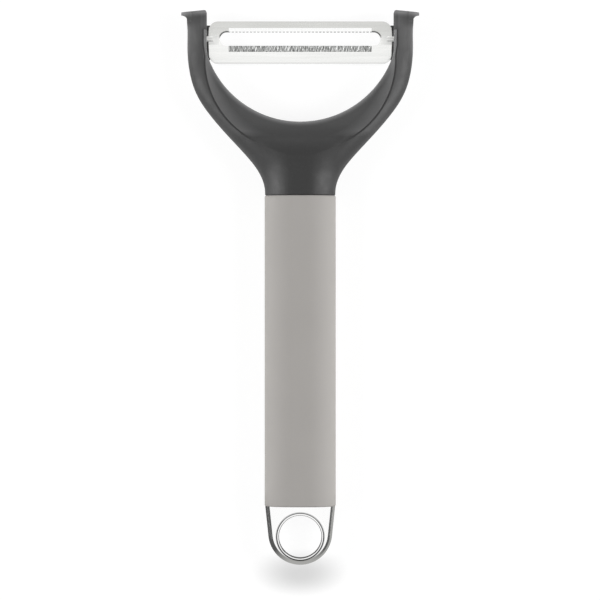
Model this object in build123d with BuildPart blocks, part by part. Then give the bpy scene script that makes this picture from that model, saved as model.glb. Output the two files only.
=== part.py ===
from build123d import *
from math import acos, atan2, cos, radians, sin, sqrt
import os

# Y-shaped vegetable peeler, lying on its back.
# X runs across the yoke, Y from the hanging eye to the blade, Z up through the depth.
# The origin is on the resting plane, below the middle of the outline.

# Lengths along the handle
yoke_length = 63.5
grip_length = 106.5
eye_length = 20.0

# Grip sleeve
grip_width = 24.4
grip_depth = 18.6
grip_side_radius = 6.6
grip_flat_half_width = 2.4
grip_wall = 2.2
grip_end_chamfer = 0.35

# Fits and small gaps
running_clearance = 0.05
slip_clearance = 0.05
overrun = 2.0

# Yoke
neck_inset = 0.13
neck_edge_chamfer = 0.3
arm_wall = 6.6
arm_crown_depth = 12.0
arm_top_fall = 0.8
arm_top_round = 0.8
arch_flank = 1.5
arch_bottom_above_joint = 25.3
arch_wall_blend = 12.0
arch_rim_round = 1.3
neck_flat_length = 10.5
web_blend_length = 18.0
web_thickness = 6.6
crease_inset = 2.5
crease_top_below_end = 6.6
crease_flank = 4.9
crease_centre_drop = 8.4
crease_nose_above_joint = 4.7
crease_nose_radius = 18.0
crease_corner_radius = 3.5
crown_fall = 1.0
cove_radius = 5.0
lip_reach = 2.1
lip_edge = 0.85
lip_width = 7.0
lip_root_drop = 3.6
lip_root_reach = 4.9
lip_corner_radius = 2.4
tang_width = 14.0
tang_depth = 9.0
tang_length = 32.0
tang_round = 2.0

# Shares of the yoke's length, of its growth in half width and of its loss of depth,
# then the side radius as a share of the half depth
yoke_station_shares = [
    (0.000, 0.000, 0.00, 0.72),
    (0.020, 0.000, 0.00, 0.72),
    (0.060, 0.014, 0.00, 0.73),
    (0.110, 0.060, 0.01, 0.77),
    (0.160, 0.134, 0.03, 0.83),
    (0.220, 0.253, 0.10, 0.88),
    (0.290, 0.407, 0.26, 0.91),
    (0.360, 0.560, 0.47, 0.90),
    (0.430, 0.700, 0.68, 0.88),
    (0.500, 0.820, 0.83, 0.86),
    (0.570, 0.906, 0.92, 0.84),
    (0.650, 0.963, 0.98, 0.83),
    (0.730, 0.992, 1.00, 0.82),
    (0.800, 1.000, 1.00, 0.82),
    (0.900, 1.000, 1.00, 0.82),
    (1.000, 1.000, 1.00, 0.82),
]

# Swivel blade
blade_width = 14.6
blade_half_length = 31.5
blade_thickness = 0.8
blade_bow_radius = 24.0
blade_corner_radius = 3.1
blade_top_below_end = 3.7
blade_shoulder = 0.2
blade_shoulder_half_height = 4.0
blade_end_gap = 0.6
pivot_above_centre = 1.2
slot_width = 4.6
slot_end_web = 4.0
ground_end_web = 3.0
upper_bevel_height = 1.5
upper_bevel_drop = 0.45
lower_bevel_height = 2.1
lower_bevel_drop = 0.6
tooth_pitch = 1.25
tooth_depth = 0.45
tooth_width = 0.9
flute_slant = 24.0
flute_width = 0.4
flute_depth = 0.14
nib_radius = 1.0
nib_length = 2.8
nib_root = 1.6
nib_end_play = 0.25
nib_end_chamfer = 0.25
swing_limit = 22.0

# Ledges that stop the swing
ledge_reach = 1.1
ledge_above_pivot = 4.8
ledge_below_pivot = 7.0
ledge_back_inset = 0.3
ledge_gap = 0.12

# Handle core
core_pin_radius = 1.25
core_pin_from_joint = 20.0
eye_pin_from_end = 9.0
tang_end_gap = 0.5
pin_recess = 0.3
pin_chamfer = 0.3

# Hanging eye
eye_half_width = 11.95
eye_thickness = 7.0
eye_end_radius = 10.95
eye_rim_round = 1.45
eye_hole_radius = 7.85
eye_hole_from_end = 9.6
eye_tang_width = 12.0
eye_tang_depth = 5.0
eye_tang_length = 16.5

# Eyelet
eyelet_bore_radius = 7.3
eyelet_lip_radius = 8.15
eyelet_lip_height = 0.4
eyelet_lip_chamfer = 0.25

# Places worked out from the sizes
overall_length = yoke_length + grip_length + eye_length
end_y = overall_length / 2
joint_y = end_y - yoke_length
grip_end_y = joint_y - grip_length
mid_height = grip_depth / 2
arm_inner_half_width = blade_half_length + blade_end_gap
arm_half_width = arm_inner_half_width + arm_wall
arch_radius = arm_inner_half_width + arch_flank
crease_half_width = arm_inner_half_width + crease_inset
slot_half_length = blade_half_length - slot_end_web
ground_half_length = slot_half_length - ground_end_web
neck_half_width = grip_width / 2 - neck_inset
neck_half_depth = grip_depth / 2 - neck_inset
arch_centre_y = joint_y + arch_bottom_above_joint + arch_radius
blade_top_y = end_y - blade_top_below_end
blade_centre_y = blade_top_y - blade_width / 2
pivot_y = blade_centre_y + pivot_above_centre
tooth_count = int(2 * ground_half_length / tooth_pitch)
lip_tip_x = arm_half_width + lip_reach
lip_tip_y = end_y - arm_top_fall
lip_root_x = arm_half_width - lip_root_reach
lip_slope = arm_top_fall / (lip_tip_x - arm_inner_half_width)

# The blade is bowed about an axis below it, and its rounded ends meet the ledges as it turns
bow_fall = sqrt(blade_bow_radius**2 - pivot_above_centre**2)
bow_centre_z = mid_height - bow_fall
corner_run = blade_half_length - blade_shoulder - blade_corner_radius
ledge_run = arm_inner_half_width - ledge_reach - corner_run
end_half_width = blade_width / 2 - blade_corner_radius + sqrt(blade_corner_radius**2 - ledge_run**2)
end_underside = bow_centre_z + sqrt((blade_bow_radius - blade_thickness / 2) ** 2 - end_half_width**2)


def ledge_height(end_y_from_pivot):
    """Height of a ledge that the blade's rounded end touches at the limit of its swing."""
    turn = radians(swing_limit)
    return mid_height - end_y_from_pivot * sin(turn) + (end_underside - mid_height) * cos(turn) - ledge_gap


lower_ledge_height = ledge_height(end_half_width + pivot_above_centre)
upper_ledge_height = ledge_height(end_half_width - pivot_above_centre)
ledge_back = mid_height - arm_crown_depth / 2 + crown_fall + ledge_back_inset


def across(y):
    """Plane square to the handle at y, with its own y axis pointing up."""
    return Plane(origin=(0, y, mid_height), x_dir=(1, 0, 0), z_dir=(0, -1, 0))


def oval(half_width, half_depth, side_radius):
    """Face with a narrow flat above and below, two round sides and four arcs between."""
    flat = grip_flat_half_width
    reach = half_width - side_radius - flat
    crown_radius = (reach**2 + half_depth**2 - side_radius**2) / (2 * (half_depth - side_radius))
    lean_x = reach / (crown_radius - side_radius)
    lean_y = (crown_radius - half_depth) / (crown_radius - side_radius)
    x = half_width - side_radius + side_radius * lean_x
    y = side_radius * lean_y
    with BuildSketch() as section:
        with BuildLine():
            Line((flat, half_depth), (-flat, half_depth))
            TangentArc((-flat, half_depth), (-x, y), tangent=(-1, 0))
            ThreePointArc((-x, y), (-half_width, 0), (-x, -y))
            TangentArc((-flat, -half_depth), (-x, -y), tangent=(-1, 0))
            Line((-flat, -half_depth), (flat, -half_depth))
            TangentArc((flat, -half_depth), (x, -y), tangent=(1, 0))
            ThreePointArc((x, -y), (half_width, 0), (x, y))
            TangentArc((flat, half_depth), (x, y), tangent=(1, 0))
        make_face()
    return section.sketch


# Pocket that leaves the raised band round the inside of each yoke face
web_half = web_thickness / 2
pocket_top = mid_height + neck_half_depth + overrun
blend_start_y = joint_y + neck_flat_length
blend_end_y = blend_start_y + web_blend_length
blend_rise = neck_half_depth - web_half
crease_top_y = end_y - crease_top_below_end
crease_radius = arch_radius + crease_flank
crease_centre_x = crease_half_width - crease_radius
crease_centre_y = arch_centre_y - crease_centre_drop
crease_top_x = crease_centre_x + sqrt(crease_radius**2 - (crease_top_y - crease_centre_y) ** 2)
crease_nose_y = joint_y + crease_nose_above_joint
crease_drop = crease_centre_y - crease_nose_y
# The crease is one arc, then runs straight from its foot to its nose
crease_nose_distance = sqrt(crease_centre_x**2 + crease_drop**2)
crease_turn = atan2(crease_drop, -crease_centre_x) - acos(crease_radius / crease_nose_distance)
crease_foot_x = crease_centre_x + crease_radius * cos(crease_turn)
crease_foot_y = crease_centre_y - crease_radius * sin(crease_turn)

with BuildPart() as pocket:
    with BuildSketch(Plane.XY.offset(mid_height)):
        with BuildLine():
            top = (crease_top_x, crease_top_y)
            foot = (crease_foot_x, crease_foot_y)
            mid_arc = (
                crease_centre_x + crease_radius * cos(crease_turn / 2),
                crease_centre_y - crease_radius * sin(crease_turn / 2),
            )
            Line((0, crease_top_y), top)
            ThreePointArc(top, mid_arc, foot)
            Line(foot, (0, crease_nose_y))
            Line((0, crease_nose_y), (0, crease_top_y))
        make_face()
        mirror(about=Plane.YZ)
        fillet(vertices().group_by(Axis.Y)[0], crease_nose_radius)
        fillet(vertices().group_by(Axis.Y)[-1], crease_corner_radius)
    extrude(amount=pocket_top - mid_height)
    blend_mid = ((blend_start_y + blend_end_y) / 2, mid_height + web_half + blend_rise / 2)
    with BuildSketch(Plane.YZ):
        with BuildLine():
            low = (blend_end_y, mid_height + web_half)
            high = (blend_start_y, mid_height + neck_half_depth)
            TangentArc(low, blend_mid, tangent=(-1, 0))
            TangentArc(high, blend_mid, tangent=(1, 0))
            Polyline(
                high,
                (crease_nose_y - overrun, mid_height + neck_half_depth),
                (crease_nose_y - overrun, pocket_top),
                (end_y, pocket_top),
                (end_y, mid_height + web_half),
                low,
            )
        make_face()
    extrude(amount=arm_half_width, both=True, mode=Mode.INTERSECT)
    floor_edges = faces().filter_by(lambda face: face.normal_at().Z < -0.5).edges()
    blend_edges = floor_edges.filter_by(Axis.X).filter_by(lambda edge: edge.center().Y < crease_centre_y)
    fillet(floor_edges - blend_edges, cove_radius)

with BuildPart() as yoke:
    for along, growth, thinning, roundness in yoke_station_shares:
        half_width = neck_half_width + growth * (arm_half_width - neck_half_width)
        half_depth = neck_half_depth + thinning * (arm_crown_depth / 2 - neck_half_depth)
        with BuildSketch(across(joint_y + along * yoke_length)):
            add(oval(half_width, half_depth, roundness * half_depth))
    loft()
    chamfer(edges().group_by(Axis.Y)[0], neck_edge_chamfer)
    # Arch between the arms
    with BuildSketch():
        with BuildLine():
            wall_foot_y = arch_centre_y - sqrt(arch_radius**2 - arm_inner_half_width**2)
            wall_foot = (arm_inner_half_width, wall_foot_y)
            wall_end = (arm_inner_half_width, end_y + overrun)
            ThreePointArc((-arm_inner_half_width, wall_foot_y), (0, arch_centre_y - arch_radius), wall_foot)
            Line(wall_foot, wall_end)
            Line(wall_end, (-arm_inner_half_width, end_y + overrun))
            Line((-arm_inner_half_width, end_y + overrun), (-arm_inner_half_width, wall_foot_y))
        make_face()
        fillet(vertices().group_by(Axis.Y)[0], arch_wall_blend)
    extrude(amount=grip_depth, mode=Mode.SUBTRACT)
    add(pocket.part, mode=Mode.SUBTRACT)
    mirror(pocket.part, about=Plane.XY.offset(mid_height), mode=Mode.SUBTRACT)
    arch_wall = faces().sort_by_distance((0, arch_centre_y - arch_radius, mid_height))[0]
    fillet(arch_wall.edges().filter_by(lambda edge: abs(edge.tangent_at(0.5).Z) < 0.5), arch_rim_round)
    # Sloping arm ends
    with BuildSketch():
        with BuildLine():
            Polyline(
                (arm_inner_half_width, end_y),
                (lip_tip_x, lip_tip_y),
                (lip_tip_x, end_y + overrun),
                (arm_inner_half_width, end_y + overrun),
                close=True,
            )
        make_face()
        mirror(about=Plane.YZ)
    extrude(amount=grip_depth, mode=Mode.SUBTRACT)
    end_faces = faces().filter_by(GeomType.PLANE).filter_by(lambda face: face.normal_at().Y > 0.9)
    fillet(end_faces.edges(), arm_top_round)
    # Lip that flares out at the end of each arm
    with BuildSketch(Plane.XY.offset(mid_height)):
        with BuildLine():
            lip_root_top = (lip_root_x, lip_tip_y + lip_slope * (lip_tip_x - lip_root_x))
            lip_under = (lip_tip_x, lip_tip_y - lip_edge)
            lip_foot = (arm_half_width, end_y - lip_root_drop)
            Line(lip_root_top, (lip_tip_x, lip_tip_y))
            Line((lip_tip_x, lip_tip_y), lip_under)
            TangentArc(lip_foot, lip_under, tangent=(0, 1))
            Line(lip_foot, (lip_root_x, end_y - lip_root_drop))
            Line((lip_root_x, end_y - lip_root_drop), lip_root_top)
        make_face()
        mirror(about=Plane.YZ)
    extrude(amount=lip_width / 2, both=True)
    tip_edges = edges().filter_by(lambda edge: abs(edge.center().X) > arm_half_width + lip_reach / 2)
    fillet(tip_edges.filter_by(Axis.Y), lip_corner_radius)
    # Stepped ledge behind each end of the blade, which stops its swing
    with BuildSketch(Plane.YZ.offset(-arm_inner_half_width - overrun)):
        with BuildLine():
            Polyline(
                (pivot_y - ledge_below_pivot, ledge_back),
                (pivot_y + ledge_above_pivot, ledge_back),
                (pivot_y + ledge_above_pivot, upper_ledge_height),
                (pivot_y, upper_ledge_height),
                (pivot_y, lower_ledge_height),
                (pivot_y - ledge_below_pivot, lower_ledge_height),
                close=True,
            )
        make_face()
    ledge = extrude(amount=ledge_reach + overrun)
    mirror(ledge, about=Plane.YZ)
    # Sockets for the blade's nibs
    with BuildSketch(Plane.YZ):
        with Locations((pivot_y, mid_height)):
            Circle(nib_radius + running_clearance)
    extrude(amount=blade_half_length + nib_length + nib_end_play, both=True, mode=Mode.SUBTRACT)
    # Tang that the handle core grips
    with BuildSketch(across(joint_y)):
        RectangleRounded(tang_width, tang_depth, tang_round)
    extrude(amount=tang_length)
    with Locations((0, joint_y - core_pin_from_joint, mid_height)):
        Cylinder(core_pin_radius + slip_clearance, grip_depth, mode=Mode.SUBTRACT)
yoke.part.label = "yoke"


def blade_top(y):
    """Height of the bowed blade's upper surface."""
    return bow_centre_z + sqrt((blade_bow_radius + blade_thickness / 2) ** 2 - (y - blade_centre_y) ** 2)


# One slanted flute of the lower cutting bevel
slot_top_y = pivot_y + slot_width / 2
slot_foot_y = pivot_y - slot_width / 2
upper_bevel_y = slot_top_y + upper_bevel_height
lower_bevel_y = slot_foot_y - lower_bevel_height
lower_edge_height = blade_top(slot_foot_y) - lower_bevel_drop
bevel_rise = lower_edge_height - blade_top(lower_bevel_y)
bevel_slope = Vector(0, lower_bevel_height, bevel_rise).normalized()
flute_line = bevel_slope * cos(radians(flute_slant)) + Vector(sin(radians(flute_slant)), 0, 0)
flute_across = Vector(cos(radians(flute_slant)), 0, 0) - bevel_slope * sin(radians(flute_slant))
bevel_middle = (0, (slot_foot_y + lower_bevel_y) / 2, (lower_edge_height + blade_top(lower_bevel_y)) / 2)
with BuildPart() as flute:
    with BuildSketch(Plane(origin=bevel_middle, x_dir=flute_across, z_dir=flute_line)):
        with BuildLine():
            Polyline(
                (-flute_width, -flute_depth),
                (flute_width, -flute_depth),
                (0, flute_depth),
                close=True,
            )
        make_face()
    extrude(amount=lower_bevel_height / 2, both=True)

with BuildPart() as blade:
    with BuildSketch(Plane.YZ):
        with Locations((blade_centre_y, bow_centre_z)):
            Circle(blade_bow_radius + blade_thickness / 2)
            Circle(blade_bow_radius - blade_thickness / 2, mode=Mode.SUBTRACT)
    extrude(amount=blade_half_length, both=True)
    with BuildSketch(Plane.XY.offset(bow_centre_z)):
        end_x = blade_half_length - blade_shoulder
        with Locations((0, blade_centre_y)):
            RectangleRounded(2 * end_x, blade_width, blade_corner_radius)
        with BuildLine():
            Polyline(
                (-end_x, pivot_y + blade_shoulder_half_height),
                (end_x, pivot_y + blade_shoulder_half_height),
                (blade_half_length, pivot_y),
                (end_x, pivot_y - blade_shoulder_half_height),
                (-end_x, pivot_y - blade_shoulder_half_height),
                (-blade_half_length, pivot_y),
                close=True,
            )
        make_face()
    extrude(amount=blade_bow_radius + overrun, mode=Mode.INTERSECT)
    with BuildSketch():
        with Locations((0, pivot_y)):
            SlotOverall(2 * slot_half_length, slot_width)
    extrude(amount=grip_depth, mode=Mode.SUBTRACT)
    # Ground bevels on both long edges of the slot
    with BuildSketch(Plane.YZ):
        for edge_y, land_y, drop in (
            (slot_top_y, upper_bevel_y, upper_bevel_drop),
            (slot_foot_y, lower_bevel_y, lower_bevel_drop),
        ):
            with BuildLine():
                Polyline(
                    (land_y, blade_top(land_y)),
                    (edge_y, blade_top(edge_y) - drop),
                    (pivot_y, blade_top(edge_y) - drop),
                    (pivot_y, blade_top(edge_y) + overrun),
                    (land_y, blade_top(edge_y) + overrun),
                    close=True,
                )
            make_face()
    extrude(amount=ground_half_length, both=True, mode=Mode.SUBTRACT)
    # Teeth on the upper edge and flutes on the lower bevel
    with BuildSketch():
        with Locations((0, slot_top_y)):
            with GridLocations(tooth_pitch, tooth_pitch, tooth_count, 1):
                Polygon(
                    (-tooth_width / 2, -tooth_depth / 2),
                    (tooth_width / 2, -tooth_depth / 2),
                    (0, tooth_depth),
                    align=None,
                )
    extrude(amount=grip_depth, mode=Mode.SUBTRACT)
    with GridLocations(tooth_pitch, tooth_pitch, tooth_count, 1):
        add(flute.part, mode=Mode.SUBTRACT)
    # Nibs that turn in the arms
    nib_span = nib_root + nib_length
    nib_x = blade_half_length + nib_length - nib_span / 2
    with Locations([(side * nib_x, pivot_y, mid_height) for side in (-1, 1)]):
        Cylinder(nib_radius, nib_span, rotation=(0, 90, 0))
    nib_ends = faces().filter_by(Axis.X).group_by(Axis.X)
    chamfer(nib_ends[0].edges() + nib_ends[-1].edges(), nib_end_chamfer)
blade.part.label = "blade"

with BuildPart() as grip_sleeve:
    with BuildSketch(across(joint_y)):
        add(oval(grip_width / 2, grip_depth / 2, grip_side_radius))
    extrude(amount=grip_length)
    chamfer(edges().group_by(Axis.Y)[0] + edges().group_by(Axis.Y)[-1], grip_end_chamfer)
    with BuildSketch(across(joint_y)):
        add(oval(grip_width / 2 - grip_wall, grip_depth / 2 - grip_wall, grip_side_radius - grip_wall))
    extrude(amount=grip_length, mode=Mode.SUBTRACT)
grip_sleeve.part.label = "grip_sleeve"

core_inset = grip_wall + slip_clearance
core_half_depth = grip_depth / 2 - core_inset
core_pin_ys = (joint_y - core_pin_from_joint, grip_end_y + eye_pin_from_end)
with BuildPart() as handle_core:
    with BuildSketch(across(joint_y)):
        add(oval(grip_width / 2 - core_inset, core_half_depth, grip_side_radius - core_inset))
    extrude(amount=grip_length)
    with BuildSketch(across(joint_y)):
        socket_width = tang_width + 2 * slip_clearance
        socket_depth = tang_depth + 2 * slip_clearance
        RectangleRounded(socket_width, socket_depth, tang_round + slip_clearance)
    extrude(amount=tang_length + tang_end_gap, mode=Mode.SUBTRACT)
    with BuildSketch(across(grip_end_y)):
        Rectangle(eye_tang_width + 2 * slip_clearance, eye_tang_depth + 2 * slip_clearance)
    extrude(amount=-eye_tang_length - tang_end_gap, mode=Mode.SUBTRACT)
    with Locations([(0, y, mid_height) for y in core_pin_ys]):
        Cylinder(core_pin_radius + slip_clearance, grip_depth, mode=Mode.SUBTRACT)
handle_core.part.label = "handle_core"

with BuildPart() as cross_pins:
    with Locations([(0, y, mid_height) for y in core_pin_ys]):
        Cylinder(core_pin_radius, 2 * (core_half_depth - pin_recess))
    chamfer(edges().filter_by(GeomType.CIRCLE), pin_chamfer)
cross_pins.part.label = "cross_pins"

eye_end_y = grip_end_y - eye_length
eye_arc_y = eye_end_y + eye_end_radius
hole_y = eye_end_y + eye_hole_from_end
with BuildPart() as hanging_eye:
    with BuildSketch(Plane.XY.offset(mid_height)):
        with BuildLine():
            shoulder_rise = grip_end_y - eye_arc_y
            shoulder_distance = sqrt(eye_half_width**2 + shoulder_rise**2)
            side_lean = atan2(shoulder_rise, eye_half_width) - acos(eye_end_radius / shoulder_distance)
            side_foot = (eye_end_radius * cos(side_lean), eye_arc_y + eye_end_radius * sin(side_lean))
            Line((-eye_half_width, grip_end_y), (eye_half_width, grip_end_y))
            Line((eye_half_width, grip_end_y), side_foot)
            ThreePointArc(side_foot, (0, eye_end_y), (-side_foot[0], side_foot[1]))
            Line((-side_foot[0], side_foot[1]), (-eye_half_width, grip_end_y))
        make_face()
    extrude(amount=eye_thickness / 2, both=True)
    face_edges = faces().filter_by(Axis.Z).edges()
    fillet(face_edges.filter_by(lambda edge: edge.center().Y < grip_end_y - eye_rim_round), eye_rim_round)
    with Locations((0, hole_y, mid_height)):
        Cylinder(eye_hole_radius, eye_thickness, mode=Mode.SUBTRACT)
    with BuildSketch(across(grip_end_y)):
        Rectangle(eye_tang_width, eye_tang_depth)
    extrude(amount=-eye_tang_length)
    with Locations((0, core_pin_ys[1], mid_height)):
        Cylinder(core_pin_radius + slip_clearance, grip_depth, mode=Mode.SUBTRACT)
hanging_eye.part.label = "hanging_eye"

tube_radius = eye_hole_radius - slip_clearance
eye_face = eye_thickness / 2
lip_face = eye_face + eyelet_lip_height
with BuildPart() as eyelet:
    with BuildSketch(across(hole_y)):
        with BuildLine():
            Polyline(
                (eyelet_bore_radius, -lip_face),
                (eyelet_lip_radius, -lip_face),
                (eyelet_lip_radius, -eye_face),
                (tube_radius, -eye_face),
                (tube_radius, eye_face),
                (eyelet_lip_radius, eye_face),
                (eyelet_lip_radius, lip_face),
                (eyelet_bore_radius, lip_face),
                close=True,
            )
        make_face()
        chamfer(vertices().group_by(Axis.Y)[0] + vertices().group_by(Axis.Y)[-1], eyelet_lip_chamfer)
    revolve(axis=Axis((0, hole_y, mid_height), (0, 0, 1)))
eyelet.part.label = "eyelet"

os.makedirs("parts", exist_ok=True)
for piece in (yoke, blade, grip_sleeve, handle_core, cross_pins, hanging_eye, eyelet):
    export_step(piece.part, "parts/" + piece.part.label + ".step")
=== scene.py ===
import math

import bmesh
import bpy
from mathutils import Matrix, Vector


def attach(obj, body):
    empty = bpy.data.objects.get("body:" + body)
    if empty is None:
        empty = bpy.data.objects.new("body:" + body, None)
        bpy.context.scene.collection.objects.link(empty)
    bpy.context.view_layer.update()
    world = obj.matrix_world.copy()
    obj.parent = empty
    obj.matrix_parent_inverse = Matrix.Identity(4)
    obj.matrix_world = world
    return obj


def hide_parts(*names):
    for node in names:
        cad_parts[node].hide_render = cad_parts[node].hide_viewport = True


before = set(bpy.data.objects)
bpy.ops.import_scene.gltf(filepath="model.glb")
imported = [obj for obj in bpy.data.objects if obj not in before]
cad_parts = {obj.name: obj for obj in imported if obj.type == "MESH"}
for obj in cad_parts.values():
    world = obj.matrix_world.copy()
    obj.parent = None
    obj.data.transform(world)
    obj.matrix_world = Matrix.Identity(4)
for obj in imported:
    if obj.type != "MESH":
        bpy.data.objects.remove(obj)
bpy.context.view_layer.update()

view_settings = bpy.context.scene.view_settings
view_settings.view_transform = "Standard"


# Handle core
# A stiff moulded bar that fills the grip and holds both tangs.
# Black filled nylon, plain from the mould, and hidden in the assembled peeler.
class Value:
    """A number in a node tree, which can be written into sums."""

    def __init__(self, nodes, socket):
        self.nodes = nodes
        self.socket = socket

    def maths(self, operation, first, second=0.0):
        return self.nodes.node("ShaderNodeMath", {"operation": operation}, {0: first, 1: second})

    def __add__(self, other):
        return self.maths("ADD", self, other)

    def __radd__(self, other):
        return self.maths("ADD", other, self)

    def __sub__(self, other):
        return self.maths("SUBTRACT", self, other)

    def __rsub__(self, other):
        return self.maths("SUBTRACT", other, self)

    def __mul__(self, other):
        return self.maths("MULTIPLY", self, other)

    def __rmul__(self, other):
        return self.maths("MULTIPLY", other, self)

    def __gt__(self, other):
        return self.maths("GREATER_THAN", self, other)

    def __lt__(self, other):
        return self.maths("LESS_THAN", self, other)

    def size(self):
        return self.maths("ABSOLUTE", self)

    def positive(self):
        return self.maths("MAXIMUM", self)

    def span(self, other):
        """Length of the slope that runs this far across and the other far up."""
        return self.maths("SQRT", self * self + other * other)


class Nodes:
    """A node tree, with one way to make its nodes."""

    def __init__(self, tree):
        self.tree = tree

    def fill(self, made, sockets):
        for place, value in sockets.items():
            if isinstance(value, Value):
                self.tree.links.new(value.socket, made.inputs[place])
            else:
                made.inputs[place].default_value = value

    def node(self, kind, settings, sockets, output=0):
        made = self.tree.nodes.new(kind)
        for setting, value in settings.items():
            setattr(made, setting, value)
        self.fill(made, sockets)
        return Value(self, made.outputs[output])

    def blend(self, factor, first, second):
        return self.node("ShaderNodeMix", {"data_type": "RGBA"}, {0: factor, 6: first, 7: second}, 2)


class Finish(Nodes):
    """A material, whose patterns stay where they are on the peeler."""

    def __init__(self, name):
        self.material = bpy.data.materials.new(name)
        self.material.use_nodes = True
        super().__init__(self.material.node_tree)

    def place(self):
        return self.node("ShaderNodeTexCoord", {}, {}, "Object")

    def along(self, axis):
        return self.node("ShaderNodeSeparateXYZ", {}, {0: self.place()}, axis)

    def from_axis(self, x, y):
        """Distance from an upright line through x, y."""
        return (self.along("X") - x).span(self.along("Y") - y)

    def noise(self, scale, detail, stretch=(1, 1, 1), turn=0.0):
        spot = self.node(
            "ShaderNodeMapping", {}, {0: self.place(), "Rotation": (0, 0, turn), "Scale": stretch},
        )
        return self.node("ShaderNodeTexNoise", {}, {0: spot, "Scale": scale, "Detail": detail})

    def rise(self, value, low, high):
        """0 below low, 1 above high and straight between."""
        return self.node("ShaderNodeMapRange", {}, {0: value, 1: low, 2: high})

    def fall(self, value, low, high):
        """1 below low, 0 above high and straight between."""
        return 1 - self.rise(value, low, high)

    def band(self, value, near_edge, far_edge):
        """1 between two soft edges, each given by its two ends."""
        return self.rise(value, *near_edge) * self.fall(value, *far_edge)

    def bump(self, height, distance, strength):
        return self.node(
            "ShaderNodeBump", {}, {"Height": height, "Distance": distance, "Strength": strength},
        )

    def glow(self, tone, strength):
        return self.node("ShaderNodeEmission", {}, {"Color": tone, "Strength": strength})

    def show(self, shader):
        """Puts another shader in place of the material's usual one."""
        self.fill(self.tree.nodes["Material Output"], {"Surface": shader})

    def coat(self, sockets, *nodes):
        """Fills the material's usual shader and gives the material to CAD nodes."""
        self.fill(self.tree.nodes["Principled BSDF"], sockets)
        for node in nodes:
            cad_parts[node].data.materials.clear()
            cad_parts[node].data.materials.append(self.material)


nylon = Finish("core_nylon")
nylon_dark, nylon_light = (0.008, 0.008, 0.009, 1), (0.016, 0.016, 0.017, 1)
nylon_grain = nylon.noise(scale=900, detail=4)
nylon.coat(
    {
        "Base Color": nylon.blend(nylon_grain, nylon_dark, nylon_light),
        "Roughness": 0.45 + 0.15 * nylon_grain,
        "Normal": nylon.bump(nylon_grain, distance=0.00003, strength=0.4),
    },
    "handle_core",
)


# Yoke
# One charcoal moulding: the neck flares into two arms round an open arch.
# Glass-filled nylon from a spark-eroded mould, so it has a fine satin grain.
charcoal = Finish("yoke_charcoal")
charcoal_dark, charcoal_light = (0.008, 0.008, 0.0082, 1), (0.016, 0.016, 0.0162, 1)
# The darkest tone is painted shade; the pale tone serves the moulding's specks and the painted highlights
charcoal_painted_shade, charcoal_speck_and_highlight_tone = (0.001, 0.001, 0.001, 1), (0.2, 0.2, 0.202, 1)
mid_height = 0.0093
yoke_x, yoke_y = charcoal.along("X"), charcoal.along("Y")
yoke_side = yoke_x.size()
on_right = yoke_x > 0
charcoal_grain = charcoal.noise(scale=2600, detail=3)
charcoal_cloud = charcoal.noise(scale=70, detail=3)
charcoal_mottle = charcoal.noise(scale=330, detail=4)
charcoal_specks = charcoal.rise(charcoal.noise(scale=5200, detail=1), low=0.62, high=0.74)

# Tight inner corner along the raised band, which holds a thin dark line.
# It is an arc below crease_centre_y and nearly straight above.
crease_centre_x, crease_centre_y, crease_radius = 0.0014, 0.078, 0.0313
crease_foot, crease_end_y, crease_half_width = (0.0515, 0.0535), 0.0882, (0.0001, 0.0004)
crease_lean, crease_lean_start = 0.0005, (0.079, 0.083)
crease_across = yoke_side - crease_centre_x
crease_down = (crease_centre_y - yoke_y).positive()
off_crease = crease_across.span(crease_down) - crease_radius
off_crease = off_crease - crease_lean * charcoal.rise(yoke_y, *crease_lean_start)
above_foot = charcoal.rise(yoke_y, *crease_foot)
crease_length = above_foot * (yoke_y < crease_end_y)
crease_line = crease_length * charcoal.fall(off_crease.size(), *crease_half_width)

# Painted highlights: each arm is paler on both sides of its crease, the right one more, along its outer
# margin, and a little over its upper part
upper_arm_start, right_band_start = (0.079, 0.087), (0.073, 0.079)
inside_start, inside_end = (-0.0042, -0.0004), (-0.0004, -0.0001)
beside_start, beside_end = (0.0001, 0.0006), (0.0015, 0.0036)
margin_edge, margin_foot, margin_top = (0.0362, 0.0386), (0.074, 0.082), (0.0885, 0.0905)
upper_arm = charcoal.rise(yoke_y, *upper_arm_start)
right_band = on_right * charcoal.rise(yoke_y, *right_band_start)
inside_crease = crease_length * charcoal.band(off_crease, inside_start, inside_end)
beside_crease = above_foot * charcoal.band(off_crease, beside_start, beside_end)
beside_crease = beside_crease * (0.4 + 0.6 * on_right)
outer_margin = charcoal.rise(yoke_side, *margin_edge)
outer_margin = outer_margin * outer_margin * charcoal.band(yoke_y, margin_foot, margin_top)

# Painted highlight: the rim of the arch is paler
arch_centre_y, arch_edge, arch_rim_top = 0.0903, (0.0336, 0.0354), (0.068, 0.079)
arch_rim = charcoal.fall(charcoal.from_axis(0, arch_centre_y), *arch_edge)
arch_rim = arch_rim * arch_rim * charcoal.fall(yoke_y, *arch_rim_top)

# Painted highlights: the arms' sloping ends are paler, most of all along the edges of their faces, and so
# are the lips. Painted light also lifts the inner edges beside the blade
end_slope, end_inner_x, face_depth = 0.092, 0.0321, (0.0035, 0.005)
end_zone_start, end_rim_start = (0.0895, 0.0925), (0.0926, 0.0946)
inner_edge_side, inner_edge_start = (0.0317, 0.033), (0.0865, 0.0895)
inner_half_side, inner_half_start = (0.0334, 0.0344), (0.088, 0.0895)
lip_side, lip_start = (0.0371, 0.0374), (0.0909, 0.0914)
up_to_end = yoke_y + end_slope * (yoke_side - end_inner_x)
end_zone = charcoal.rise(up_to_end, *end_zone_start)
end_rim = charcoal.rise(up_to_end, *end_rim_start)
end_rim = end_rim * end_rim
face_edge = charcoal.rise((charcoal.along("Z") - mid_height).size(), *face_depth)
inner_edge = charcoal.fall(yoke_side, *inner_edge_side) * charcoal.rise(yoke_y, *inner_edge_start)
inner_half = charcoal.fall(yoke_side, *inner_half_side) * charcoal.rise(yoke_y, *inner_half_start)
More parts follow.
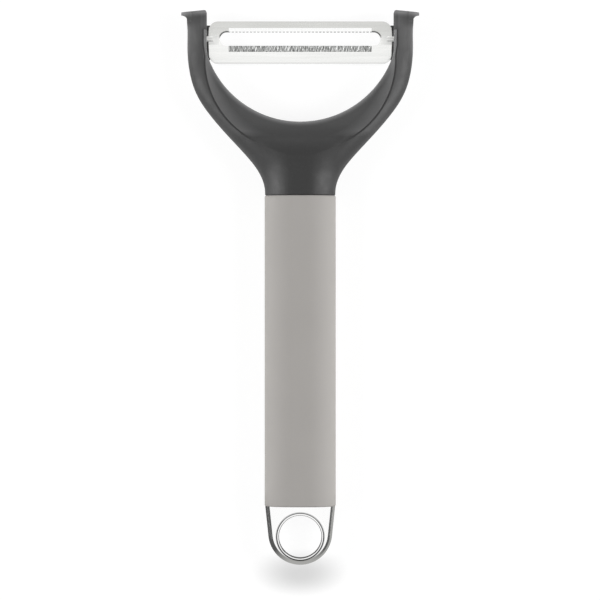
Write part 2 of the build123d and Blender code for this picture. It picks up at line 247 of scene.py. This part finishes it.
lip = charcoal.rise(yoke_side, *lip_side) * charcoal.rise(yoke_y, *lip_start)

# Painted light: the web is a little paler under the arch, and a painted highlight runs along the neck's
# left shoulder
web_foot, web_top, web_side = (0.0515, 0.056), (0.066, 0.071), (-0.004, -0.0008)
shine_left, shine_right, shine_top = (-0.0115, -0.0095), (-0.008, -0.005), (0.036, 0.046)
web_glow = charcoal.band(yoke_y, web_foot, web_top) * charcoal.fall(off_crease, *web_side)
neck_shine = charcoal.band(yoke_x, shine_left, shine_right) * charcoal.fall(yoke_y, *shine_top)
# Pale specks of the moulding plus the painted highlights above, all in one pale tone
specks_and_painted_light = (
    0.1 * charcoal_specks
    + (0.45 + 0.3 * upper_arm + 0.25 * right_band) * inside_crease
    + 0.21 * beside_crease
    + 0.42 * outer_margin
    + 0.07 * upper_arm
    + arch_rim
    + (0.4 + 0.65 * face_edge) * end_rim
    + 0.2 * inner_edge
    + 0.17 * inner_half
    + (0.2 + 0.5 * end_rim) * lip
    + 0.16 * web_glow
    + 0.08 * neck_shine
)

# Painted shade: the neck is darkest along its middle
neck_side, neck_top = (0.004, 0.008), (0.044, 0.049)
neck_middle = charcoal.fall(yoke_side, *neck_side) * charcoal.fall(yoke_y, *neck_top)
charcoal_base = charcoal.blend(charcoal_cloud, charcoal_dark, charcoal_light)
charcoal_base = charcoal.blend(0.8 * neck_middle, charcoal_base, charcoal_painted_shade)
charcoal_height = charcoal_grain + 2 * charcoal_mottle - 5 * crease_line
satin = 0.37 + 0.12 * charcoal_cloud + 0.05 * charcoal_grain + 0.22 * charcoal_mottle
charcoal.coat(
    {
        "Base Color": charcoal.blend(specks_and_painted_light, charcoal_base, charcoal_speck_and_highlight_tone),
        "Roughness": satin + 0.2 * end_zone + 0.3 * crease_line,
        "Normal": charcoal.bump(charcoal_height, distance=0.00004, strength=0.6),
    },
    "yoke",
)


# Swivel blade
# Pressed from thin stainless strip, bowed, slotted, then ground along both edges of the slot.
# The strip keeps fine rolling lines along its length; grinding leaves short lines across the bevels.
steel = Finish("blade_steel")
steel_dark, steel_bright, steel_shade = (0.76, 0.765, 0.75, 1), (1, 1, 0.985, 1), (0.06, 0.06, 0.06, 1)
flute_dark, flute_bright = (0.12, 0.123, 0.12, 1), (0.57, 0.575, 0.57, 1)
bevel_dark, bevel_bright = (0.9, 0.905, 0.9, 1), (1, 1, 0.995, 1)
slot_foot, slot_top, slot_centre_x, slot_radius = 0.0829, 0.0875, 0.0252, 0.0023
bevel_foot, bevel_top, bevel_end, bevel_overlap = 0.0808, 0.0890, 0.0245, 0.00002
blade_x, blade_y = steel.along("X"), steel.along("Y")
blade_side = blade_x.size()
rolling_lines = steel.noise(scale=1300, detail=4, stretch=(0.03, 1, 1))
steel_sheen = steel.noise(scale=75, detail=3, stretch=(0.35, 1, 1))

# The lower bevel has slanted flutes, painted in dark and pale strokes as painted shade and reflection; the
# upper one has fine upright lines
in_span = (blade_x > -bevel_end) * (blade_x < bevel_end)
lower_bevel = in_span * (blade_y > bevel_foot) * (blade_y < slot_foot + bevel_overlap)
upper_bevel = in_span * (blade_y > slot_top - bevel_overlap) * (blade_y < bevel_top)
flute_strokes = steel.noise(scale=5200, detail=2, stretch=(1, 0.1, 0.1), turn=math.radians(-24))
grinding_lines = steel.noise(scale=3400, detail=3, stretch=(1, 0.1, 0.1))

# The teeth's narrow tips are painted dark, a painted shade, most of all on the right
tip_below, tip_above, darker_right = 0.0001, 0.00022, (0, 0.008)
tooth_tips = in_span * (blade_y > slot_top - tip_below) * (blade_y < slot_top + tip_above)
tooth_tips = tooth_tips * (0.8 + 0.2 * steel.rise(blade_x, *darker_right))

# Dark line round the ends of the slot: painted shade along the cut edge
slot_shade_width, slot_shade_start = (0.0003, 0.0006), (0.0002, 0.0012)
beyond_slot = (blade_side - slot_centre_x).positive()
above_slot = blade_y - (slot_foot + slot_top) / 2
off_slot = beyond_slot.span(above_slot) - slot_radius
slot_end_shade = steel.fall(off_slot, *slot_shade_width) * (1 - in_span) * steel.rise(above_slot, *slot_shade_start)

# Grey shade beside the nibs and along the lower edge
nib_y, nib_shoulder_x, nib_reach, edge_top = 0.08475, 0.0278, (0.0014, 0.0017), (0.0771, 0.0775)
nib_shade = (blade_side > nib_shoulder_x) * steel.fall((blade_y - nib_y).size(), *nib_reach)
edge_shade = steel.fall(blade_y, *edge_top)

# Rolled strip, fluted bevel and ground bevel, each with its own lines
flute_contrast = (0.43, 0.57)
plain_tone = steel.blend(0.5 * rolling_lines + 0.5 * steel_sheen, steel_dark, steel_bright)
flute_tone = steel.blend(steel.rise(flute_strokes, *flute_contrast), flute_dark, flute_bright)
bevel_tone = steel.blend(grinding_lines, bevel_dark, bevel_bright)
ground_tone = steel.blend(upper_bevel, steel.blend(lower_bevel, plain_tone, flute_tone), bevel_tone)
shaded = 0.95 * tooth_tips + 0.9 * slot_end_shade + 0.2 * nib_shade + 0.15 * edge_shade
steel_height = (
    rolling_lines * (1 - lower_bevel - upper_bevel)
    + flute_strokes * lower_bevel
    + grinding_lines * upper_bevel
)
polish = 0.17 + 0.08 * steel_sheen + 0.05 * rolling_lines
steel.coat(
    {
        "Base Color": steel.blend(shaded, ground_tone, steel_shade),
        "Metallic": 1.0,
        "Roughness": polish + 0.3 * lower_bevel + 0.3 * nib_shade,
        "Normal": steel.bump(steel_height, distance=0.000006, strength=0.5),
    },
    "blade",
)


# Hanging eye
# A thick metal end piece, cast, then polished until it mirrors its surroundings.
# Only hairline polishing marks break the mirror.
mirror = Finish("polished_eye")
mirror_dark, mirror_bright = (0.965, 0.965, 0.96, 1), (0.99, 0.99, 0.985, 1)
mirror_lip_shade = (0.03, 0.03, 0.03, 1)
hole_y, hole_reach = -0.0854, 0.008
mirror_hairs = mirror.noise(scale=700, detail=5, stretch=(1, 0.06, 1), turn=math.radians(35))
mirror_cloud = mirror.noise(scale=160, detail=3)


def far_side(finish):
    """0 where the hole is nearest the grip, 1 where it is nearest the end."""
    return finish.rise(finish.along("Y"), hole_y + hole_reach, hole_y - hole_reach)


# Painted shade: a dark line round the eyelet's lip, darker towards the end
line_inside, line_outside, line_gain = (0.0079, 0.0081), (0.0083, 0.0086), 0.0002
mirror_far = far_side(mirror)
mirror_radius = mirror.from_axis(0, hole_y)
lip_line = mirror.rise(mirror_radius, *line_inside)
lip_line = lip_line * mirror.fall(mirror_radius + line_gain * mirror_far, *line_outside)
lip_line = lip_line * (0.5 + 0.45 * mirror_far)
mirror_base = mirror.blend(mirror_cloud, mirror_dark, mirror_bright)
mirror.coat(
    {
        "Base Color": mirror.blend(lip_line, mirror_base, mirror_lip_shade),
        "Metallic": 1.0,
        "Roughness": 0.05 + 0.05 * mirror_cloud + 0.03 * mirror_hairs,
        "Normal": mirror.bump(mirror_hairs, distance=0.000002, strength=0.25),
    },
    "hanging_eye",
)


# Eyelet
# A thin tube pressed into the hanging hole and rolled over both faces.
# The same polished metal, with round lips and faint marks of the rolling tool.
bore, tube_outside, lip_edge, ring_steps = 0.0073, 0.0078, 0.00815, 128
lip_face, lip_back, lip_root, lip_round = 0.0039, 0.00352, 0.00348, 0.00026
ring_mesh = bmesh.new()
ring_outline = [
    (bore, -lip_face), (lip_edge, -lip_face), (lip_edge, -lip_back), (tube_outside, -lip_root),
    (tube_outside, lip_root), (lip_edge, lip_back), (lip_edge, lip_face), (bore, lip_face),
]
ring_corners = [ring_mesh.verts.new((x, 0, z)) for x, z in ring_outline]
ring_mesh.faces.new(ring_corners)
lip_corners = [ring_corners[i] for i in (0, 1, 6, 7)]
bmesh.ops.bevel(
    ring_mesh, geom=lip_corners, offset=lip_round, segments=6, profile=0.5, affect="VERTICES", material=-1,
)
bmesh.ops.spin(
    ring_mesh, geom=ring_mesh.faces[:] + ring_mesh.edges[:] + ring_mesh.verts[:],
    cent=(0, 0, 0), axis=(0, 0, 1), angle=math.radians(360), steps=ring_steps, use_merge=True,
)
section_left = [face for face in ring_mesh.faces if len(face.verts) > 4]
bmesh.ops.delete(ring_mesh, geom=section_left, context="FACES_ONLY")
bmesh.ops.remove_doubles(ring_mesh, verts=ring_mesh.verts, dist=0.000002)
bmesh.ops.translate(ring_mesh, verts=ring_mesh.verts, vec=(0, hole_y, mid_height))
bmesh.ops.recalc_face_normals(ring_mesh, faces=ring_mesh.faces)


def placed(mesh, name):
    """The finished mesh as an object in the scene."""
    data = bpy.data.meshes.new(name)
    mesh.to_mesh(data)
    mesh.free()
    piece = bpy.data.objects.new(name, data)
    bpy.context.scene.collection.objects.link(piece)
    return piece


for face in ring_mesh.faces:
    face.smooth = True
rolled = Finish("rolled_eyelet")
rolled_dark, rolled_bright = (0.94, 0.94, 0.935, 1), (0.99, 0.99, 0.985, 1)
rolled_lip_shade = (0.05, 0.05, 0.05, 1)
rolled_marks = rolled.noise(scale=1500, detail=3, stretch=(1, 1, 0.2))

# Painted shade: dark lines at both edges of the lip
outer_start, outer_gain, inner_end = (0.00785, 0.00795), 0.00016, (0.0074, 0.0076)
rolled_far = far_side(rolled)
rolled_radius = rolled.from_axis(0, hole_y)
outer_line = rolled.rise(rolled_radius + outer_gain * rolled_far, *outer_start)
outer_line = outer_line * (0.5 + 0.45 * rolled_far)
inner_line = rolled.fall(rolled_radius, *inner_end) * (0.12 - 0.1 * rolled_far)
rolled_base = rolled.blend(rolled_marks, rolled_dark, rolled_bright)
rolled.coat(
    {
        "Base Color": rolled.blend(outer_line + inner_line, rolled_base, rolled_lip_shade),
        "Metallic": 1.0,
        "Roughness": 0.06 + 0.08 * rolled_marks,
        "Normal": rolled.bump(rolled_marks, distance=0.000002, strength=0.3),
    },
)
rolled_ring = placed(ring_mesh, "rolled_ring")
rolled_ring.data.materials.append(rolled.material)
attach(rolled_ring, "handle")
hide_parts("eyelet")


# Cross pins
# Two turned steel pins that lock the tangs in the core, under the grip.
# Plain drawn wire with lathe marks, never seen once the grip is on.
turned = Finish("turned_pins")
turned_dark, turned_bright = (0.45, 0.45, 0.45, 1), (0.6, 0.6, 0.6, 1)
turned_marks = turned.noise(scale=1200, detail=3, stretch=(0.1, 0.1, 1))
turned.coat(
    {
        "Base Color": turned.blend(turned_marks, turned_dark, turned_bright),
        "Metallic": 1.0,
        "Roughness": 0.3 + 0.15 * turned_marks,
        "Normal": turned.bump(turned_marks, distance=0.000008, strength=0.5),
    },
    "cross_pins",
)


# Grip sleeve
# A soft-touch elastomer tube, warm light grey, that slides over the core.
# Its skin is dry and matte, with a fine even pebble and hardly any gloss.
soft = Finish("soft_grip")
soft_dark, soft_light, dust = (0.372, 0.355, 0.338, 1), (0.404, 0.387, 0.370, 1), (0.5, 0.49, 0.48, 1)
soft_pebble = soft.noise(scale=2100, detail=4)
soft_cloud = soft.noise(scale=45, detail=4)
soft_dust = soft.rise(soft.noise(scale=3800, detail=1), low=0.6, high=0.72)
soft.coat(
    {
        "Base Color": soft.blend(0.12 * soft_dust, soft.blend(soft_cloud, soft_dark, soft_light), dust),
        "Roughness": 0.62 + 0.12 * soft_pebble,
        "Normal": soft.bump(soft_pebble, distance=0.00003, strength=0.35),
        "Specular IOR Level": 0.3,
    },
    "grip_sleeve",
)


# Floor and surroundings
# A wide pale sheet under the peeler, white to the camera, which keeps a faint contact shadow.
# The sky is white to the camera and to polished metal, and softer as a light.
def flat_sheet(name, finish, left, right, near, far, height):
    """A level rectangle that only stages the peeler."""
    mesh = bmesh.new()
    corners = [(left, near, height), (right, near, height), (right, far, height), (left, far, height)]
    mesh.faces.new([mesh.verts.new(corner) for corner in corners])
    sheet = placed(mesh, name)
    sheet.data.materials.append(finish.material)
    return sheet


def seen_as_background(nodes):
    """1 for rays of the camera and of polished or clear surfaces, otherwise 0."""
    rays = ("Is Camera Ray", "Is Glossy Ray", "Is Transmission Ray")
    direct, glossy, clear = [nodes.node("ShaderNodeLightPath", {}, {}, ray) for ray in rays]
    return direct + glossy + clear > 0.5


pale = Finish("pale_floor")
floor_reach, floor_z, shadow_share, glow_strength = 4, -0.0001, 0.2, 1.1
white, far_white, matte_white = (1, 1, 1, 1), (0.91, 0.91, 0.91, 1), (0.92, 0.92, 0.92, 1)
near_reach = (0.12, 0.3)
near_peeler = pale.fall(pale.from_axis(0, 0), *near_reach)

# Soft shadow beyond the hanging eye, an oval that fades out from its middle
patch_y, patch_half_width, patch_half_length = -0.0988, 0.016, 0.0078
patch_core, patch_rim, patch_grey = 0.1, 1.25, (0.6, 0.6, 0.6, 1)
patch_across = pale.along("X") * (1 / patch_half_width)
patch_along = (pale.along("Y") - patch_y) * (1 / patch_half_length)
patch = 1 - pale.node(
    "ShaderNodeMapRange", {"interpolation_type": "SMOOTHSTEP"},
    {0: patch_across.span(patch_along), 1: patch_core, 2: patch_rim},
)

# Near the peeler the glow makes up for the matte share, so the sheet is the same white all over
sheet_white = pale.blend(near_peeler, far_white, white)
glow = pale.glow(pale.blend(patch, sheet_white, patch_grey), glow_strength)
matte = pale.node("ShaderNodeBsdfDiffuse", {}, {"Color": matte_white})
glow_share = (1 - shadow_share * near_peeler) * seen_as_background(pale)
pale.show(pale.node("ShaderNodeMixShader", {}, {0: glow_share, 1: matte, 2: glow}))
flat_sheet("floor", pale, -floor_reach, floor_reach, -floor_reach, floor_reach, floor_z)

sky = bpy.data.worlds.new("studio")
bpy.context.scene.world = sky
sky.use_nodes = True
sky_rays = Nodes(sky.node_tree)
sky_light = (0.2, 0.2, 0.2, 1)
sky_colour = sky_rays.blend(seen_as_background(sky_rays), sky_light, white)
sky_rays.fill(sky.node_tree.nodes["Background"], {"Color": sky_colour, "Strength": 1.0})


# Cards for the polished metal
# A grey card beyond the blade and a dark tray round the hanging eye, seen in reflections only.
# They stand in for the dim end of the studio and the dark table edge in the real reflections.
def only_in_reflections(card):
    card.visible_camera = False
    card.visible_diffuse = False
    card.visible_shadow = False
    card.visible_transmission = False


def reflection_card(name, tone, left, right, near, far, height):
    finish = Finish(name)
    finish.show(finish.glow(tone, 1.0))
    only_in_reflections(flat_sheet(name, finish, left, right, near, far, height))


def pull_edge(mesh, edge, move):
    """Draws one edge out into a flat wall, and gives back the wall's new edge."""
    made = bmesh.ops.extrude_edge_only(mesh, edges=[edge])["geom"]
    corners = {item for item in made if isinstance(item, bmesh.types.BMVert)}
    bmesh.ops.translate(mesh, verts=list(corners), vec=move)
    edges = [item for item in made if isinstance(item, bmesh.types.BMEdge)]
    return next(item for item in edges if set(item.verts) == corners)


reflection_card(
    "dim_end", tone=(0.73, 0.73, 0.72, 1), left=-0.9, right=0.9, near=0.2, far=1.3, height=0.5,
)
reflection_card(
    "eye_base", tone=(0.12, 0.12, 0.12, 1), left=-0.0145, right=0.0145, near=-0.0735, far=-0.0985,
    height=0.0003,
)

# The tray's wall runs beside the eye, round its end and back on the other side
wall_radius, wall_splay, wall_centre_y, wall_start_y = 0.0132, 0.0008, -0.08405, -0.0712
wall_foot, wall_top, wall_run = 0.0002, 0.05, wall_centre_y - wall_start_y
wall_mesh = bmesh.new()
wall_start = [
    wall_mesh.verts.new((wall_radius + wall_splay, wall_start_y, z)) for z in (wall_foot, wall_top)
]
right_edge = pull_edge(wall_mesh, wall_mesh.edges.new(wall_start), (-wall_splay, wall_run, 0))
bmesh.ops.spin(
    wall_mesh, geom=list(right_edge.verts) + [right_edge],
    cent=(0, wall_centre_y, 0), axis=(0, 0, 1), angle=math.radians(-180), steps=24,
)
left_edge = min(wall_mesh.edges, key=lambda edge: edge.verts[0].co.x + edge.verts[1].co.x)
pull_edge(wall_mesh, left_edge, (-wall_splay, -wall_run, 0))

# It is dark, but paler low down on the right and round the end
flag = Finish("eye_flag")
flag_dark, flag_pale, flag_end_tone = (0.09, 0.09, 0.09, 1), (0.36, 0.36, 0.35, 1), (0.39, 0.39, 0.38, 1)
flag_side_start, flag_low_top, flag_end_start = (-0.004, 0.009), (0.0130, 0.0152), (-0.0965, -0.0915)
flag_side = flag.rise(flag.along("X"), *flag_side_start)
flag_low = flag.fall(flag.along("Z"), *flag_low_top)
flag_end = flag.fall(flag.along("Y"), *flag_end_start)
flag_tone = flag.blend(flag_side * flag_low, flag_dark, flag_pale)
flag.show(flag.glow(flag.blend(flag_end, flag_tone, flag_end_tone), 1.0))
eye_flag = placed(wall_mesh, "eye_flag")
eye_flag.data.materials.append(flag.material)
only_in_reflections(eye_flag)


# Lamps and camera
# Two tall softboxes, left and right and fairly low, so the middle of each round form stays darker.
# A third, wide and weak, fills in from the blade's end. The camera looks straight down.
def softbox(name, place, wide, tall, watts):
    lamp = bpy.data.lights.new(name, "AREA")
    lamp.shape = "RECTANGLE"
    lamp.size = wide
    lamp.size_y = tall
    lamp.energy = watts
    box = bpy.data.objects.new(name, lamp)
    aim = Vector(place).to_track_quat("Z", "Y")
    box.matrix_world = Matrix.Translation(place) @ aim.to_matrix().to_4x4()
    bpy.context.scene.collection.objects.link(box)


softbox("left_softbox", (-0.6, 0.0, 0.27), wide=0.3, tall=0.8, watts=4.4)
softbox("right_softbox", (0.6, 0.0, 0.27), wide=0.3, tall=0.8, watts=4.7)
softbox("end_softbox", (0, 0.8, 0.12), wide=0.5, tall=0.16, watts=1.0)

camera = bpy.data.objects.new("camera", bpy.data.cameras.new("camera"))
camera_x, camera_y, camera_height = -0.00007, -0.0043, 1.6
frame_width, sensor_width = 0.2058, 36
camera.data.sensor_width = sensor_width
camera.data.lens = sensor_width * camera_height / frame_width
camera.location = (camera_x, camera_y, mid_height + camera_height)
bpy.context.scene.collection.objects.link(camera)
bpy.context.scene.camera = camera
